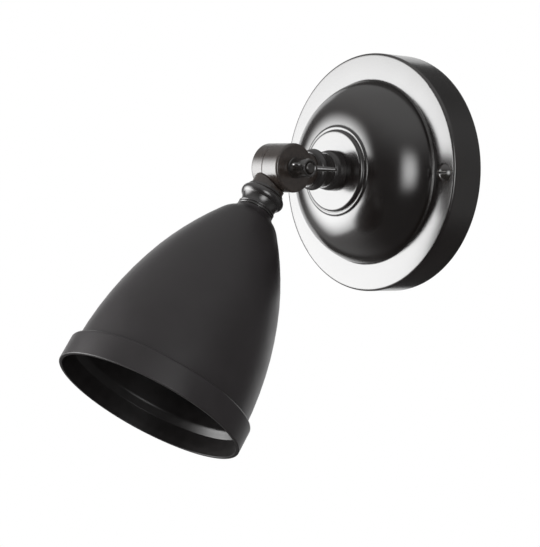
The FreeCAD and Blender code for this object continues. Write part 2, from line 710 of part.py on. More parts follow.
def make_wing_nut():
    """A cast wing nut: a tapered hub and two flat wings that thin towards their rounded tips."""
    foot = S["barrel_right"] + S["running_gap"]
    top = foot + S["hub_length"]
    body = new_body("wing_nut")
    hub = new_sketch(body, "wing_nut_hub", "XZ_Plane")
    outline(
        hub, (foot, ZERO), (top, ZERO), (top, S["hub_top"]),
        (foot + S["hub_flare"], S["hub_foot"] - S["hub_flare"] / 2),
        (foot + S["hub_flare"] / 2, S["hub_foot"]), (foot, S["hub_foot"]))
    revolve(body, hub, "H_Axis")
    wings = new_sketch(body, "wing_nut_wings", "XZ_Plane")
    tip_x = foot + S["wing_lift"]
    tip_z = S["wing_reach"] - S["wing_round"]
    low, high = foot + S["wing_margin"], top - S["wing_margin"]
    for side in (1, -1):
        outline(
            wings, (low, S["wing_start"] * side), (high, S["wing_start"] * side),
            (tip_x + S["wing_round"], tip_z * side),
            ((tip_x, S["wing_reach"] * side), S["wing_round"], side),
            ((tip_x - S["wing_round"], tip_z * side), S["wing_round"], side))
    pad(body, wings, S["wing_root"], middle=True)
    taper = new_sketch(body, "wing_nut_taper", "YZ_Plane")
    root, tip = S["wing_root"] / 2, S["wing_tip"] / 2
    past = S["wing_reach"] + S["wing_root"]
    for face in (1, -1):
        for side in (1, -1):
            outline(
                taper, (root * face, S["hub_foot"] * side), (tip * face, S["wing_reach"] * side),
                (tip * face, past * side), (S["wing_root"] * face, past * side),
                (S["wing_root"] * face, S["hub_foot"] * side))
    pocket(body, taper, middle=True)
    cut_circle(body, "wing_nut_bore", "YZ_Plane", foot, bolt_hole, reverse=True)
    place(body, S["pivot_reach"])
    return body


# ---------------------------------------------------------------- head

def on_head(label, steps):
    return turned(label, steps, S["pivot_reach"], S["tilt"])


def make_shade_neck():
    """The turned neck: flange, full swell, cove and two fine rings under the shade."""
    foot = S["neck_foot"] + S["flange_height"]
    swell = bead_steps(S["swell_root"], S["swell_radius"], foot + S["swell_width"] / 2, S["swell_width"])
    ring_top = S["neck_radius"] + S["ring_size"]
    first = bead_steps(S["neck_radius"], ring_top, S["ring_place"], S["ring_size"] * 2)
    second = bead_steps(
        S["neck_radius"], ring_top, S["ring_place"] + S["ring_pitch"], S["ring_size"] * 2)
    return on_head("shade_neck", [
        (tube_hole, S["neck_foot"]), (S["flange_radius"], S["neck_foot"]), (S["flange_radius"], foot),
        *swell, (first[0], S["neck_cove"], -1), first[1], first[2], *second,
        (S["neck_radius"], S["neck_top"]), (tube_hole, S["neck_top"])])


def make_shade():
    """The spun bell: a flared crest, a long double-arc flank and a proud rolled band at the mouth."""
    wall = S["shade_wall"]
    flare = (S["flare_radius"], S["flare_place"])
    shoulder = (S["shoulder_radius"], S["shoulder_place"])
    belly = (S["belly_radius"], S["belly_place"])
    skirt = (skirt_radius, skirt_place)
    upper = arc_centre(shoulder, belly, S["upper_arc"])
    lower = arc_centre(belly, skirt, S["lower_arc"])
    shoulder_in = inset(shoulder, upper, S["upper_arc"], wall)
    belly_in = inset(belly, lower, S["lower_arc"], wall)
    skirt_in = inset(skirt, lower, S["lower_arc"], wall)
    edge, mouth = S["band_round"], S["mouth_place"]
    lip = S["mouth_wall"] / 2
    mouth_in = S["band_radius"] - S["mouth_wall"]
    crown_in = S["nut_flats"] / math.sqrt(3) + S["nut_room"]
    return on_head("shade", [
        (tube_hole, S["neck_top"]), (S["crest_radius"], S["neck_top"]),
        (flare, S["flare_arc"], -1), (shoulder, S["shoulder_arc"], 1),
        (belly, S["upper_arc"], 1), (skirt, S["lower_arc"], 1),
        (S["band_radius"] - edge, skirt_place),
        ((S["band_radius"], skirt_place + edge), edge, 1), (S["band_radius"], mouth - lip),
        ((S["band_radius"] - lip, mouth), lip, 1), ((mouth_in, mouth - lip), lip, 1),
        (mouth_in, skirt_place + edge + wall), (skirt_in[0], skirt_place + wall), skirt_in,
        (belly_in, S["lower_arc"] - wall, -1), (shoulder_in, S["upper_arc"] - wall, -1),
        (crown_in, ring_nut_seat), (tube_hole, ring_nut_seat)])


def make_shade_nut():
    return hex_nut("shade_nut", S["nut_flats"], ring_nut_seat, S["ring_nut_height"], S["tilt"], S["pivot_reach"])


cap_top = cap_seat + S["cap_height"]
socket_floor = cap_top + S["holder_floor"]


def make_holder_cap():
    """The lampholder's domed cap, screwed on the tail of the knuckle."""
    inner = S["cap_radius"] - S["cap_wall"]
    rise_end = cap_top - S["cap_skirt"]
    return on_head("holder_cap", [
        (tube_hole, cap_seat), (S["cap_neck"], cap_seat), (S["cap_neck"], cap_seat + S["cap_flange"]),
        ((S["cap_radius"], rise_end), S["cap_arc"], 1), (S["cap_radius"], cap_top), (inner, cap_top),
        (inner, tail_end), (tube_hole, tail_end)])


def make_holder_body():
    """The lampholder's moulded sleeve, open at the mouth for a small screw-cap lamp."""
    end = cap_top + S["holder_length"]
    return on_head("holder_body", [
        (ZERO, cap_top), (S["holder_radius"], cap_top), (S["holder_radius"], end),
        (S["socket_radius"], end), (S["socket_radius"], socket_floor), (ZERO, socket_floor)])


def make_holder_ring():
    inner = S["holder_radius"] + S["thread_gap"]
    low = S["skirt_ring_place"]
    high = low + S["skirt_ring_height"]
    lip = S["skirt_ring_height"] / 2
    return on_head("holder_ring", [
        (inner, low), (S["skirt_ring_radius"] - lip, low),
        ((S["skirt_ring_radius"], low + lip), lip, 1), ((S["skirt_ring_radius"] - lip, high), lip, 1),
        (inner, high)])


def make_holder_shell():
    low = socket_floor + S["contact_height"] + S["contact_room"]
    return on_head("holder_shell", ring_steps(
        S["socket_radius"] - S["shell_wall"], S["socket_radius"], low, low + S["shell_length"]))


def make_holder_contact():
    radius, height = S["contact_radius"], S["contact_height"]
    edge = height / 2
    return on_head("holder_contact", [
        (ZERO, socket_floor), (radius, socket_floor), (radius, socket_floor + height - edge),
        ((radius - edge, socket_floor + height), edge, 1), (ZERO, socket_floor + height)])


MAKERS = [
    make_backplate, make_strap, make_plate_screws, make_terminal_block, make_terminal_screws,
    make_block_screw, make_earth_tag, make_earth_screw, make_stem_tube, make_back_washer,
    make_back_nut, make_stem_collar, make_stem_bead, make_knuckle_fixed, make_friction_disc,
    make_pivot_bolt, make_wing_nut, make_knuckle_moving, make_shade_neck, make_shade,
    make_shade_nut, make_holder_cap, make_holder_body, make_holder_ring, make_holder_shell,
    make_holder_contact,
]
pieces = [maker() for maker in MAKERS]
doc.recompute()

for thing in doc.Objects:
    if "Invalid" in thing.State or "Error" in thing.State:
        raise RuntimeError(f"{thing.Label} is in error: {thing.State}")
for piece in pieces:
    if piece.Shape.isNull() or not piece.Shape.isValid():
        raise RuntimeError(f"{piece.Label} has no valid shape")

os.makedirs("parts", exist_ok=True)
for piece in pieces:
    piece.Shape.exportStep(f"parts/{piece.Label}.step")
    box = piece.Shape.BoundBox
    print(f"{piece.Label}: {len(piece.Shape.Solids)} solid(s), {piece.Shape.Volume:.1f} mm3, "
          f"{box.XLength:.2f} x {box.YLength:.2f} x {box.ZLength:.2f} mm")
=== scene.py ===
# %% [markdown]
# # A pivoting spotlight wall light
# The light is a round pressed backplate, a turned stem, a two-half knuckle that a wing nut clamps,
# and a spun bell shade. Its solids come packed from CAD as a fixed frame. Blender could model the
# whole thing again, but then looks and mechanics would drift apart, so we keep every solid whose
# shape is right, give it a finish, and only rebuild pieces that need threads, casting or soft edges.

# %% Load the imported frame
import json
import math

import bmesh
import bpy
from mathutils import Matrix, Vector


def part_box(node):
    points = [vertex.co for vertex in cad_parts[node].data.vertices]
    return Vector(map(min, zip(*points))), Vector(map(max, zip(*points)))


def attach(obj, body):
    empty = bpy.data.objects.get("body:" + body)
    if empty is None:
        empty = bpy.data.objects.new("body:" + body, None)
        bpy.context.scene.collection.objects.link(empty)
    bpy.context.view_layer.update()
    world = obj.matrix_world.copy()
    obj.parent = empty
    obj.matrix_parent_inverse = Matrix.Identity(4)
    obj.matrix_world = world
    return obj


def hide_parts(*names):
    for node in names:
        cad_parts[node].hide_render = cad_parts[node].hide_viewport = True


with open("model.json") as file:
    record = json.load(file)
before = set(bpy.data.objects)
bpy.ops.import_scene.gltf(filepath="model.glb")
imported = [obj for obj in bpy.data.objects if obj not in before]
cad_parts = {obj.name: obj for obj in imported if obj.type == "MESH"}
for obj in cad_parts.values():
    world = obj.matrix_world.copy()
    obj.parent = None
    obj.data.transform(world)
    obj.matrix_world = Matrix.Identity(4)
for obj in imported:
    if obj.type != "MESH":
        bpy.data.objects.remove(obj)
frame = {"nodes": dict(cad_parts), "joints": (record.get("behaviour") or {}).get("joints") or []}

bpy.context.view_layer.update()
MM = 0.001

# %% [markdown]
# ## Where the light stands
# The wall is the plane Y = 0 and the light stands out along -Y. Three axes carry all the turned
# pieces: the stem's, straight out of the wall; the shade's, 56 degrees below it; and the pivot's,
# from left to right. Naming them once lets each later piece be drawn flat, as (radius, height), and
# then spun about its own axis. The pivot's place isn't typed in: it is the frame's own tilt joint.

# %% The three turning axes
tilt_joint = next(joint for joint in frame["joints"] if joint["name"] == "shade_tilt")
PIVOT = Vector(tilt_joint["pos_m"]) / MM
TILT = math.radians(56.0)
SHADE_WAY = Vector((0.0, -math.cos(TILT), -math.sin(TILT)))
SHADE_SIDE = Vector((0.0, math.sin(TILT), -math.cos(TILT)))
X_AXIS, Y_AXIS, Z_AXIS = Vector((1, 0, 0)), Vector((0, 1, 0)), Vector((0, 0, 1))
STEM_LATHE = (Vector((0, 0, 0)), -Y_AXIS, X_AXIS, Z_AXIS)
SHADE_LATHE = (PIVOT, SHADE_WAY, X_AXIS, SHADE_SIDE)
PIVOT_LATHE = (PIVOT, X_AXIS, -Y_AXIS, Z_AXIS)
print("pivot at", [round(v, 2) for v in PIVOT], "mm, shade points", [round(v, 3) for v in SHADE_WAY])

# %% [markdown]
# ## The camera
# The photographer stood 48 degrees round to the right, a little above the plate's middle, with a
# long lens about 0.84 m away. A long lens keeps the plate's ellipse and the shade's mouth nearly
# free of perspective. A track-to constraint would be quicker to set, but it can't hold the small
# roll of the real picture, so the camera gets its own three axes.

# %% The camera's three axes
ROUND, ABOVE, ROLL = (math.radians(v) for v in (48.174, 2.05, 1.711))
towards = Vector((math.sin(ROUND) * math.cos(ABOVE), -math.cos(ROUND) * math.cos(ABOVE), math.sin(ABOVE)))
level = Vector((math.cos(ROUND), math.sin(ROUND), 0.0))
upright = towards.cross(level)
picture_right = level * math.cos(ROLL) + upright * math.sin(ROLL)
picture_up = upright * math.cos(ROLL) - level * math.sin(ROLL)
print("the camera looks along", [round(-v, 3) for v in towards])

# %% Camera at the photograph's view
# Distances are in mm. The focal length was fitted in the picture's own pixels, over its height.
MID_DEPTH = Vector((0, -60, 0))
AIM_RIGHT, AIM_UP, DISTANCE = -15.29, -48.897, 843.58
FOCAL_PIXELS, PICTURE_PIXELS = 1802.03, 547.0
SENSOR = 36.0
aim = MID_DEPTH + picture_right * AIM_RIGHT + picture_up * AIM_UP
lens_place = (aim + towards * DISTANCE) * MM
camera = bpy.data.objects.new("camera", bpy.data.cameras.new("camera"))
camera.matrix_world = Matrix((
    (picture_right.x, picture_up.x, towards.x, lens_place.x),
    (picture_right.y, picture_up.y, towards.y, lens_place.y),
    (picture_right.z, picture_up.z, towards.z, lens_place.z),
    (0, 0, 0, 1)))
camera.data.sensor_width = SENSOR
camera.data.lens = FOCAL_PIXELS * SENSOR / PICTURE_PIXELS
camera.data.clip_start, camera.data.clip_end = 0.05, 50.0
bpy.context.scene.collection.objects.link(camera)
bpy.context.scene.camera = camera
print("lens", round(camera.data.lens, 1), "mm at", [round(v, 3) for v in lens_place])

# %% [markdown]
# ## Short ways to add a node
# Each lamp, cloth and finish below is a small graph of nodes. Blender takes three or four calls to
# place one node, which hides what the graph does, so a few helpers say it in one line each. They
# take any node tree, so the same ones serve a lamp, the world, a material or a node group.

# %% Node helpers
def put(tree, kind, inputs=None, **settings):
    """A new node with its settings, and a value or another node's output for each input named."""
    node = tree.nodes.new("ShaderNode" + kind)
    for name, value in settings.items():
        setattr(node, name, value)
    for label, value in (inputs or {}).items():
        if isinstance(value, bpy.types.NodeSocket):
            tree.links.new(value, node.inputs[label])
        else:
            node.inputs[label].default_value = value
    return node


def maths(tree, operation, *values, clamp=False):
    """One operation on numbers, typed in or from other nodes."""
    return put(tree, "Math", dict(enumerate(values)), operation=operation, use_clamp=clamp).outputs[0]


def vectors(tree, operation, *values, gives="Vector"):
    """One operation on vectors; a length or a dot product gives a Value."""
    return put(tree, "VectorMath", dict(enumerate(values)), operation=operation).outputs[gives]


def ramp(tree, value, start, end, low=0.0, high=1.0, smooth=True):
    """Runs from low to high while the value runs from start to end, and stays level outside."""
    limits = {"Value": value, "From Min": start, "From Max": end, "To Min": low, "To Max": high}
    kind = "SMOOTHSTEP" if smooth else "LINEAR"
    return put(tree, "MapRange", limits, interpolation_type=kind).outputs["Result"]


def object_place(tree):
    """The shaded point, in metres in the frame."""
    return put(tree, "TexCoord").outputs["Object"]


# %% [markdown]
# ## The studio
# Dark polished metal shows nothing but what stands around it, so the studio matters more here than
# the paint. The reflections in the dome tell where things stood: one large soft box to the left
# front at the light's own height, a small one beside the camera, a pale ceiling, white paper to the
# left rear and dark cloth everywhere else. An image of a studio could wrap the scene instead, but
# panels and cloth can be moved one by one until each reflection lands where it should.

# %% Places in the studio
MIDDLE = Vector((0.0, -0.06, -0.02))


def from_studio(turn, lift, distance):
    """A place round the light: turn in degrees to the right of straight on, lift above level."""
    t, h = math.radians(turn), math.radians(lift)
    return Vector((math.sin(t) * math.cos(h), -math.cos(t) * math.cos(h), math.sin(h))) * distance


print("the studio's middle is at", [round(v, 3) for v in MIDDLE], "m")

# %% [markdown]
# ### Soft boxes
# A soft box is a lamp behind a sheet of cloth, brightest in its middle. An area lamp shines evenly
# over its whole face, which draws a hard window in the dome, so its strength fades by a small node
# graph from the middle to the edges, as the real cloth does.

# %% Soft boxes
def faded_edges(tree, soft):
    """1 in the middle of a lamp's face and 0 at its edge; soft is the share of a side that fades."""
    corner = put(tree, "NewGeometry").outputs["Parametric"]
    sides = put(tree, "SeparateXYZ", {0: vectors(tree, "SUBTRACT", corner, (0.5, 0.5, 0.5))}).outputs
    across, up = (ramp(tree, maths(tree, "ABSOLUTE", sides[side]), 0.5, 0.5 - soft) for side in "XY")
    return maths(tree, "MULTIPLY", across, up)


def soft_box(name, turn, lift, distance, wide, high, brightness, soft):
    """A soft box of that size in metres; its brightness is what a mirror shows of its middle."""
    box = bpy.data.lights.new(name, "AREA")
    box.shape, box.size, box.size_y = "RECTANGLE", wide, high
    box.energy = brightness * math.pi * wide * high
    box.use_nodes = True
    glow = next(node for node in box.node_tree.nodes if node.type == "EMISSION")
    box.node_tree.links.new(faded_edges(box.node_tree, soft), glow.inputs["Strength"])
    lamp = bpy.data.objects.new(name, box)
    lamp.location = MIDDLE + from_studio(turn, lift, distance)
    lamp.rotation_mode = "QUATERNION"
    lamp.rotation_quaternion = (lamp.location - MIDDLE).to_track_quat("Z", "Y")
    lamp.visible_camera = False
    bpy.context.scene.collection.objects.link(lamp)
    print(name, "gives", round(box.energy, 1), "W")


soft_box("key_soft_box", turn=-48, lift=-6, distance=1.6, wide=2.15, high=2.7, brightness=6.7, soft=0.45)
soft_box("fill_soft_box", turn=59, lift=3, distance=2.0, wide=1.75, high=2.1, brightness=3.4, soft=0.48)

# %% [markdown]
# ### The white room
# The photograph's background is pure white, but a white room lights the metal far too flatly. So the
# world has two strengths: full white for rays that look at it, and a weaker fill for soft light.

# %% White room
FILL, WHITE = ((0.97, 0.98, 1.0, 1), 0.45), ((1, 1, 1, 1), 1.0)


def seen_mask(tree):
    """1 for rays that look at the background: from the camera, off gloss, or through glass."""
    path = put(tree, "LightPath").outputs
    looks = maths(tree, "MAXIMUM", path["Is Camera Ray"], path["Is Glossy Ray"])
    return maths(tree, "MAXIMUM", looks, path["Is Transmission Ray"])


world = bpy.data.worlds.new("white_room")
bpy.context.scene.world = world
world.use_nodes = True
room = world.node_tree
room.nodes.clear()
fill, white = (put(room, "Background", {"Color": tint, "Strength": strength}).outputs[0]
               for tint, strength in (FILL, WHITE))
blend = put(room, "MixShader", {0: seen_mask(room), 1: fill, 2: white})
put(room, "OutputWorld", {0: blend.outputs[0]})
print("the room fills with", FILL[1], "and shows", WHITE[1])

# %% [markdown]
# ### The dark cloth
# Without dark cloth the dome and the rim would mirror white all round. The cloth is one tent of
# panels that only reflections can see. Separate cards would do too, but they leave gaps of white,
# and one tent can carry the pale ceiling, the grey rear wall and the soft box's spill as ramps.

# %% Material and mesh helpers
def new_material(name):
    """An empty node material, its tree, and the socket that takes its shader."""
    material = bpy.data.materials.new(name)
    material.use_nodes = True
    tree = material.node_tree
    tree.nodes.clear()
    return material, tree, put(tree, "OutputMaterial").inputs["Surface"]


def add_object(name, points, faces, material=None):
    """A mesh object from points in metres."""
    mesh = bpy.data.meshes.new(name)
    mesh.from_pydata([tuple(p) for p in points], [], faces)
    thing = bpy.data.objects.new(name, mesh)
    bpy.context.scene.collection.objects.link(thing)
    if material:
        mesh.materials.append(material)
    return thing


# %% What the cloth shows
CEILING, REAR, SPILL, CLOTH = 0.42, 0.12, 0.3, 0.05


def cloth_material():
    """Each part is a brightness times ramps over the cloth's own place, in metres."""
    material, tree, surface = new_material("dark_cloth")
    side, depth, height = put(tree, "SeparateXYZ", {0: object_place(tree)}).outputs
    ceiling = maths(tree, "MULTIPLY", ramp(tree, height, 0.1, 2.9, 0.0, CEILING),
                    ramp(tree, depth, 0.8, 2.2, 1.0, 0.2))
    rear = maths(tree, "MULTIPLY", ramp(tree, side, 0.3, 1.8, 0.0, REAR), ramp(tree, depth, 0.3, 1.8))
    near = maths(tree, "MULTIPLY", ramp(tree, side, 0.1, -0.9), ramp(tree, depth, 0.4, 0.0))
    spill = maths(tree, "MULTIPLY", ramp(tree, height, -0.2, -1.0, 0.0, SPILL), near)
    walls = maths(tree, "ADD", ceiling, rear)
    table = maths(tree, "ADD", spill, CLOTH)
    glow = put(tree, "Emission", {"Strength": maths(tree, "ADD", walls, table)})
    tree.links.new(glow.outputs[0], surface)
    return material


# %% Dark cloth
def left_open(turn, lift):
    """The panels that are left out at the left rear, where white paper stood."""
    return turn < -100 and -20 <= lift < 30


def hang_cloth(radius=3.0, step=10, table=-1.1):
    """A round tent of dark cloth with a dark table top; radius and table are in metres."""
    points, faces, index = [], [], {}
    for lift in range(-90, 91, step):
        for turn in range(-180, 181, step):
            index[turn, lift] = len(points)
            place = from_studio(turn, lift, radius)
            points.append(Vector((place.x, place.y, max(place.z, table))))
    for lift in range(-90, 90, step):
        for turn in range(-180, 180, step):
            if not left_open(turn, lift):
                faces.append((index[turn, lift], index[turn + step, lift],
                              index[turn + step, lift + step], index[turn, lift + step]))
    tent = add_object("dark_cloth", points, faces, cloth_material())
    tent.visible_camera = tent.visible_diffuse = tent.visible_shadow = False
    tent.visible_volume_scatter = False
    print("cloth:", len(faces), "panels")


hang_cloth()

# %% [markdown]
# ## The floor
# A plain pale disc lies far below the light, as it would under a fitting on a wall. It is an ordinary
# matt surface where the shadow falls and runs out to the room's white at its edge, so no horizon
# line crosses the picture. A shadow catcher would hide the floor altogether, but it needs settings
# of the render that don't belong in this script.

# %% Pale floor
FADE_START, FADE_END = 0.35, 1.15


def floor_material():
    """Matt and faintly mottled near the middle, white paper towards the edge."""
    material, tree, surface = new_material("pale_floor")
    place = object_place(tree)
    mottled = put(tree, "TexNoise", {"Vector": place, "Scale": 40.0}).outputs["Fac"]
    tones = {"Factor": mottled, "A": (0.86, 0.86, 0.865, 1), "B": (0.9, 0.9, 0.9, 1)}
    matt = put(tree, "BsdfDiffuse", {"Color": put(tree, "Mix", tones, data_type="RGBA").outputs["Result"]})
    paper = put(tree, "Emission", {"Strength": 1.0})
    fade = ramp(tree, vectors(tree, "LENGTH", place, gives="Value"), FADE_START, FADE_END)
    seen = maths(tree, "MULTIPLY", fade, seen_mask(tree))
    mixed = put(tree, "MixShader", {0: seen, 1: matt.outputs[0], 2: paper.outputs[0]})
    tree.links.new(mixed.outputs[0], surface)
    return material


def lay_floor(radius=1.2, below=-1.2, count=96):
    """A disc of that radius in metres, that far under the plate's middle."""
    turns = [2 * math.pi * k / count for k in range(count)]
    rim = [(radius * math.cos(t), radius * math.sin(t), 0) for t in turns]
    floor = add_object("floor", rim, [tuple(range(count))], floor_material())
    floor.location = (0, MIDDLE.y, below)
    print("floor lies", below, "m from the plate's middle")


lay_floor()

# %% [markdown]
# ## Shared finish effects
# Real finishes are never one flat colour. Six effects come back over the pieces: fine grain, turning
# lines, brushed lines, springback, worn edges and specks. Painted images could hold them, but they
# need unwrapping and blur close by, so each effect is worked out from the point's own place, in a
# node group that is built once and then placed with its own values. A group only hands out masks,
# heights and normals; the shader stays in each material, where its gloss can be read.

# %% Node group helpers
METRE = 1000.0


def new_group(name, takes, gives):
    """A node group and the sockets at its two ends; takes and gives name each socket and its start."""
    group = bpy.data.node_groups.new(name, "ShaderNodeTree")
    for way, sockets in (("INPUT", takes), ("OUTPUT", gives)):
        for label, value in sockets.items():
            kind = "NodeSocketVector" if isinstance(value, tuple) else "NodeSocketFloat"
            group.interface.new_socket(name=label, in_out=way, socket_type=kind).default_value = value
    return group, group.nodes.new("NodeGroupInput").outputs, group.nodes.new("NodeGroupOutput").inputs


def noise(tree, place, scale, detail, roughness, kind="3D"):
    """Smooth noise from 0 to 1 over a point, or over one number if its kind is 1D."""
    values = {"W" if kind == "1D" else "Vector": place, "Scale": scale, "Detail": detail,
              "Roughness": roughness}
    return put(tree, "TexNoise", values, noise_dimensions=kind).outputs["Fac"]


def about_axis(tree, given):
    """How far the point lies along the group's axis, and how far off it, in metres."""
    off = vectors(tree, "SUBTRACT", object_place(tree), given["Centre"])
    along = vectors(tree, "DOT_PRODUCT", off, given["Axis"], gives="Value")
    across = vectors(tree, "CROSS_PRODUCT", off, given["Axis"])
    return along, vectors(tree, "LENGTH", across, gives="Value")


# %% [markdown]
# ### Fine grain
# Sprayed lacquer and rubbed bronze have a faint tooth, and their tone drifts slowly over a finger's
# width. Both are noise, a fine one for height and a coarse one for patches of tone. A painted image
# could hold them too, but it would have to be far larger than the picture to stay sharp close by.

# %% Fine grain
def make_fine_grain():
    """Sizes are in mm."""
    group, given, result = new_group(
        "fine_grain", {"Size": 0.4, "Patch": 12.0}, {"Height": 0.0, "Patches": 0.0})
    place = object_place(group)
    tooth = noise(group, place, maths(group, "DIVIDE", METRE, given["Size"]), 4.0, 0.6)
    patches = noise(group, place, maths(group, "DIVIDE", METRE, given["Patch"]), 5.0, 0.55)
    group.links.new(tooth, result["Height"])
    group.links.new(patches, result["Patches"])
    return group


FINE_GRAIN = make_fine_grain()
print("group:", FINE_GRAIN.name)

# %% [markdown]
# ### Turning lines
# A lathe tool or a spinning roller leaves fine rings round its axis. A texture of rings could be laid
# on each face, but noise over one number, the place along the axis plus a share of the radius, runs
# round straight walls, cones and flat ends alike.

# %% Turning lines
def make_turning_lines(face_share=0.83, wide_band=9.0):
    """Pitch is in mm. Lines give height, and wide bands of them give streaks of tone."""
    group, given, result = new_group(
        "turning_lines", {"Centre": (0, 0, 0), "Axis": (0, 0, 1), "Pitch": 0.25},
        {"Height": 0.0, "Streaks": 0.0})
    along, radius = about_axis(group, given)
    ring = maths(group, "ADD", along, maths(group, "MULTIPLY", radius, face_share))
    per_metre = maths(group, "DIVIDE", METRE, given["Pitch"])
    lines = noise(group, ring, per_metre, 3.0, 0.7, "1D")
    bands = noise(group, ring, maths(group, "DIVIDE", per_metre, wide_band), 2.0, 0.5, "1D")
    group.links.new(lines, result["Height"])
    group.links.new(bands, result["Streaks"])
    return group


TURNING_LINES = make_turning_lines()
print("group:", TURNING_LINES.name)

# %% [markdown]
# ### Brushed lines
# The plate's sheet was rubbed in one direction before it was pressed, which leaves short straight
# scratches under the lacquer. They are ordinary noise, stretched by squeezing the point along the
# direction of the strokes.

# %% Brushed lines
def make_brushed_lines():
    """Pitch and length of the strokes are in mm."""
    group, given, result = new_group(
        "brushed_lines", {"Along": (1, 0, 0), "Pitch": 0.4, "Length": 9.0}, {"Height": 0.0})
    place = object_place(group)
    along = vectors(group, "DOT_PRODUCT", place, given["Along"], gives="Value")
    shorter = maths(group, "SUBTRACT", 1.0, maths(group, "DIVIDE", given["Pitch"], given["Length"]))
    pulled = put(group, "VectorMath", {0: given["Along"], "Scale": maths(group, "MULTIPLY", along, shorter)},
                 operation="SCALE").outputs["Vector"]
    squeezed = vectors(group, "SUBTRACT", place, pulled)
    per_metre = maths(group, "DIVIDE", METRE, given["Pitch"])
    group.links.new(noise(group, squeezed, per_metre, 3.0, 0.6), result["Height"])
    return group


BRUSHED_LINES = make_brushed_lines()
print("group:", BRUSHED_LINES.name)

# %% [markdown]
# ### Springback
# Pressed sheet curls back a little towards a free edge, so the land's mirror fades towards the rim.
# The curl comes to a quarter of a millimetre at the rim. Bending the mesh for it would leave the CAD
# size, so it is a smooth bowl in the bump.

# %% Springback
def make_springback():
    """Start and edge are radii in mm, and the slope is the one at the edge."""
    group, given, result = new_group(
        "springback", {"Centre": (0, 0, 0), "Axis": (0, 0, 1), "Start": 48.0, "Edge": 57.5, "Slope": 0.05},
        {"Height": 0.0})
    radius = about_axis(group, given)[1]
    start = maths(group, "MULTIPLY", given["Start"], MM)
    past = maths(group, "MAXIMUM", maths(group, "SUBTRACT", radius, start), 0.0)
    width = maths(group, "SUBTRACT", maths(group, "MULTIPLY", given["Edge"], MM), start)
    bowl = maths(group, "DIVIDE", given["Slope"], maths(group, "MULTIPLY", width, -2.0))
    group.links.new(maths(group, "MULTIPLY", maths(group, "MULTIPLY", past, past), bowl), result["Height"])
    return group


SPRINGBACK = make_springback()
print("group:", SPRINGBACK.name)

# %% [markdown]
# ### Worn edges and painted glints
# No real edge is sharp, and hands and polishing take the dark finish off it in patches. A bevel on
# every mesh would cost many faces. The Bevel node turns the normal near an edge instead, and where
# that normal leaves the true one, there is an edge to wear. On the screws the same mask, at full
# strength, also paints glints on the slot edges.

# %% Worn edges and painted glints
def make_worn_and_glint_edges(patches_per_metre=160.0):
    """Width is in mm; the mask is 1 where the finish has gone, and on the screws it also places painted
    glints.
    """
    group, given, result = new_group(
        "worn_and_glint_edges", {"Width": 0.3, "Amount": 0.4}, {"Mask": 0.0, "Eased": (0, 0, 0)})
    width = maths(group, "MULTIPLY", given["Width"], MM)
    eased = put(group, "Bevel", {"Radius": width}, samples=8).outputs["Normal"]
    straight = put(group, "NewGeometry").outputs["Normal"]
    bent = maths(group, "SUBTRACT", 1.0, vectors(group, "DOT_PRODUCT", eased, straight, gives="Value"))
    patches = noise(group, object_place(group), patches_per_metre, 4.0, 0.6)
    broken = ramp(group, patches, 0.3, 0.75, smooth=False)
    worn_and_glint = maths(group, "MULTIPLY", ramp(group, bent, 0.03, 0.3), broken)
    group.links.new(eased, result["Eased"])
    group.links.new(maths(group, "MULTIPLY", worn_and_glint, given["Amount"], clamp=True), result["Mask"])
    return group


WORN_AND_GLINT_EDGES = make_worn_and_glint_edges()
print("group:", WORN_AND_GLINT_EDGES.name)

# %% [markdown]
# ### Specks
# A few grains of dust and tiny pits sit on any sprayed surface. Scattered objects would be heavy for
# that, so round cells of a Voronoi texture are cut small, and only some of them are kept.

# %% Specks
def make_specks(left_out=0.55):
    """Spacing and size are in mm."""
    group, given, result = new_group("specks", {"Spacing": 3.0, "Size": 0.12}, {"Mask": 0.0})
    per_metre = maths(group, "DIVIDE", METRE, given["Spacing"])
    cells = put(group, "TexVoronoi", {"Scale": per_metre, "Vector": object_place(group)}).outputs
    reach = maths(group, "DIVIDE", given["Size"], given["Spacing"])
    near = maths(group, "LESS_THAN", cells["Distance"], reach)
    draw = put(group, "SeparateColor", {0: cells["Color"]}).outputs[0]
    few = maths(group, "GREATER_THAN", draw, left_out)
    group.links.new(maths(group, "MULTIPLY", near, few), result["Mask"])
    return group


SPECKS = make_specks()
print("group:", SPECKS.name)

# %% [markdown]
# ## A finish from its recipe
# Every finish here is one Principled shader fed by the shared effects: a colour that drifts between
# two tones and brightens on worn edges, which on the screws is also a painted glint, a roughness that
# drifts too, and a bump from grain, turning and brushing. One function mixes them. A plain look holds
# every value once, and a finish names only what is different about it.

# %% The plain look
PLAIN_LOOK = {
    "metallic": 0.0, "ior": 1.5, "rough_drift": 0.04,
    "mottle": 0.2,                                            # smaller sets the two tones further apart
    "grain": 0.4, "grain_depth": 0.0004, "patch": 12.0,       # sizes and depths in mm, here and below
    "axis": None, "line_pitch": 0.25, "line_depth": 0.0, "streak": 0.0,
    "brushed": None, "brush_depth": 0.001,                    # the way the strokes run
    "curl": 0.0,                                              # the slope at a plate's edge
    # wear also sets how strongly the screws' slot edges show their painted glints.
    "wear_width": 0.3, "wear": 0.4, "worn_rough": 0.25,
    "speck_spacing": 4.0, "speck_size": 0.08, "speck": (0.2, 0.2, 0.2)}
print("a look has", len(PLAIN_LOOK), "values")

# %% Tone and height of a surface
def place_group(tree, group, **values):
    """The outputs of one shared effect, placed with its own values."""
    return put(tree, "Group", values, node_tree=group).outputs


def raised(tree, height, marks, depth):
    """Adds marks of that depth in mm to a height."""
    return maths(tree, "ADD", height, maths(tree, "MULTIPLY", marks, depth * MM))


